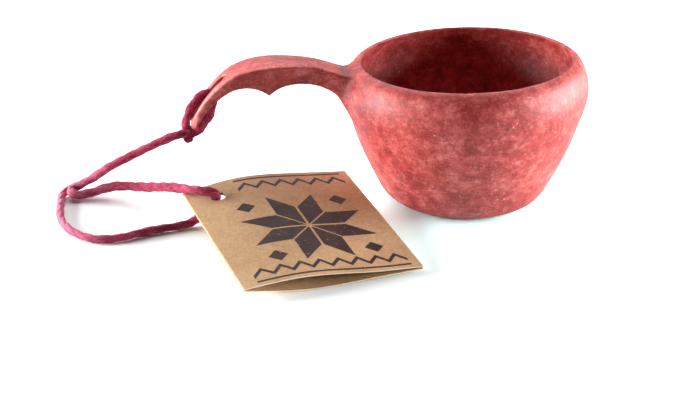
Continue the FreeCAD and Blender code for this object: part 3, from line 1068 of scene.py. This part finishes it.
def yarn_material():
    """Soft magenta wool: fine fibres that follow the ply's own threads, with paler and darker runs, and
    painted light that makes it paler near the floor and towards its far end.
    """
    m = Material("cord_yarn")
    thread = m.add("Attribute", attribute_name="thread").outputs["Vector"]
    fine = m.noise(m.stretch(thread, (5.0, 5.0, 0.22)), 1.0, 6.0, 0.72, 0.3)
    runs = m.noise(m.place, 130.0, 4.0, 0.6)
    tone = m.total((fine, 0.62), (runs, 0.38))
    colour = m.ramp(tone, (0.36, 78, 8, 30), (0.45, 136, 26, 56), (0.53, 178, 54, 90), (0.64, 226, 126, 154))
    # painted light: the cord is paler where it lies low, near the white floor
    floor_light_on_cord = m.between(m.axis(m.place, "Z"), 0.020, 0.008, 0.0, 0.24)
    # painted highlight: the cord is paler towards its far left end
    far_end_highlight = m.between(m.axis(m.place, "X"), -0.136, -0.153, 0.0, 0.42)
    colour = m.mix(floor_light_on_cord, colour, srgb(214, 84, 122))
    colour = m.mix(far_end_highlight, colour, srgb(232, 140, 168))
    normal = m.bump(fine, 0.8, 0.0004)
    return m.finish(Base_Color=colour, Roughness=0.85, Normal=normal, Specular_IOR_Level=0.2,
                    Sheen_Weight=0.6, Sheen_Roughness=0.4, Sheen_Tint=srgb(255, 170, 195))


def fuzz_material():
    """Single loose fibres, paler than the cord's body."""
    m = Material("cord_fuzz")
    colour = m.ramp(m.noise(m.place, 300.0, 2.0), (0.3, 186, 60, 104), (0.7, 240, 150, 176))
    return m.finish(Base_Color=colour, Roughness=0.8, Sheen_Weight=0.4)


def card_base(name, lighten):
    """Kraft card with long paper fibres. lighten pales it towards the raw core."""
    m = Material(name)
    mottle = m.noise(m.place, 60.0, 5.0, 0.6)
    pulp = m.noise(m.stretch(m.place, (500.0, 1500.0, 900.0), (0, 0, 0.5)), 1.0, 4.0, 0.65)
    cross = m.noise(m.stretch(m.place, (1500.0, 420.0, 900.0), (0, 0, -0.3)), 1.0, 3.0, 0.6)
    tone = m.total((mottle, 0.35), (pulp, 0.4), (cross, 0.25))
    colour = m.ramp(tone, (0.32, 157, 120, 84), (0.5, 187, 150, 111), (0.68, 209, 175, 137))
    flecks = m.between(m.noise(m.place, 900.0, 2.0, 0.5), 0.70, 0.78)
    colour = m.mix(m.times(flecks, 0.5), colour, srgb(110, 76, 48))
    colour = m.mix(lighten, colour, srgb(240, 222, 198))
    return m, colour, m.bump(m.math("ADD", pulp, cross), 0.25, 0.0002)


def card_material(name, lighten=0.0):
    m, colour, normal = card_base(name, lighten)
    return m.finish(Base_Color=colour, Roughness=0.78, Normal=normal, Specular_IOR_Level=0.25)


def ink_material():
    """Dark brown block print that lets the card show through in worn specks."""
    m, card, normal = card_base("print_ink", 0.0)
    worn = m.between(m.noise(m.place, 520.0, 6.0, 0.75), 0.60, 0.68)
    ink = m.ramp(m.noise(m.place, 150.0, 3.0), (0.3, 38, 24, 22), (0.7, 58, 40, 36))
    colour = m.mix(m.times(worn, 0.75), ink, card)
    return m.finish(Base_Color=colour, Roughness=0.62, Normal=normal, Specular_IOR_Level=0.3)


def floor_material():
    """White studio paper, over-exposed for the camera. It can't be seen from below, to show the underside."""
    m = Material("studio_paper")
    seen = m.add("LightPath").outputs["Is Camera Ray"]
    gain = m.between(seen, 0.0, 1.0, FLOOR_FOR_OBJECT, FLOOR_SEEN)
    bright = m.times(m.between(m.noise(m.place, 30.0, 3.0), 0.0, 1.0, 0.98, 1.02), gain)
    from_cup = m.vectors("LENGTH", m.place)
    cool = m.times(bright, m.between(from_cup, 0.03, 0.085, *FLOOR_COOL))
    tint = m.add("CombineColor", {"Red": bright, "Green": cool, "Blue": cool})
    paper = m.add("BsdfDiffuse", {"Color": tint.outputs[0], "Roughness": 0.0})
    clear = m.add("BsdfTransparent")
    from_below = m.add("NewGeometry").outputs["Backfacing"]
    surface = m.add("MixShader", {0: from_below, 1: paper.outputs[0], 2: clear.outputs[0]})
    m.end_at("Material Output", surface.outputs[0])
    return m.material


# ======== stage

def build_floor():
    half = 6000.0
    corners = [(x, y, -0.02) for x, y in ((-half, -half), (half, -half), (half, half), (-half, half))]
    make_object("studio_floor", [floor_material()], corners, [[0, 1, 2, 3]])


def soft_light(name, place, size, power):
    """A rectangular light that faces the object."""
    data = bpy.data.lights.new(name, "AREA")
    data.shape = "RECTANGLE"
    data.size, data.size_y = size
    data.energy = power
    light = place_object(name, data)
    light.location = place
    x, y, z = np.subtract(LIGHT_TARGET, place)
    light.rotation_euler = (math.atan2(math.hypot(x, y), -z), 0, math.atan2(y, x) - math.pi / 2)


def build_world():
    """White for the camera. For the object, dim on the camera's side and brighter behind."""
    world = bpy.data.worlds.new("studio")
    bpy.context.scene.world = world
    world.use_nodes = True
    m = Nodes(world.node_tree)
    strength = m.between(m.axis(m.direction, "Y"), -0.1, 0.9, SKY_BEFORE, SKY_BEHIND)
    light = m.add("Background", {"Color": (0.97, 0.98, 1.0, 1), "Strength": strength})
    white = m.add("Background", {"Color": (1, 1, 1, 1), "Strength": 1.05})
    seen = m.add("LightPath").outputs["Is Camera Ray"]
    mixed = m.add("MixShader", {0: seen, 1: light.outputs[0], 2: white.outputs[0]})
    m.end_at("World Output", mixed.outputs[0])


def build_lights():
    soft_light("left_box", (-0.62, 0.13, 0.11), (0.55, 0.26), 12.0)
    soft_light("right_box", (0.75, -0.04, 0.14), (0.7, 0.30), 16.5)
    soft_light("back_box", (-0.05, 0.70, 0.75), (1.4, 0.8), 8.0)


def build_camera():
    data = bpy.data.cameras.new("camera")
    data.sensor_width = 36.0
    data.lens = 73.7
    data.clip_start = 0.01
    camera = place_object("camera", data)
    camera.location = (-0.08929, -0.51401, 0.22194)
    camera.rotation_euler = (math.radians(66.56), 0, math.radians(-5.0))
    bpy.context.scene.camera = camera


def main():
    build_cup(cup_material())
    yarn = (yarn_material(), fuzz_material())
    build_loop(yarn)
    build_sling(yarn)
    build_knot(yarn)
    cut_edge = card_material("tag_cut_edge", 0.85)
    leaf = build_tag(card_material("tag_card"), cut_edge, card_material("tag_fold"))
    build_print(leaf, ink_material())
    build_floor()
    build_world()
    build_lights()
    build_camera()
    view = bpy.context.scene.view_settings
    view.view_transform = "Standard"
    view.look = "None"
    bpy.context.scene.cycles.max_bounces = 6


main()
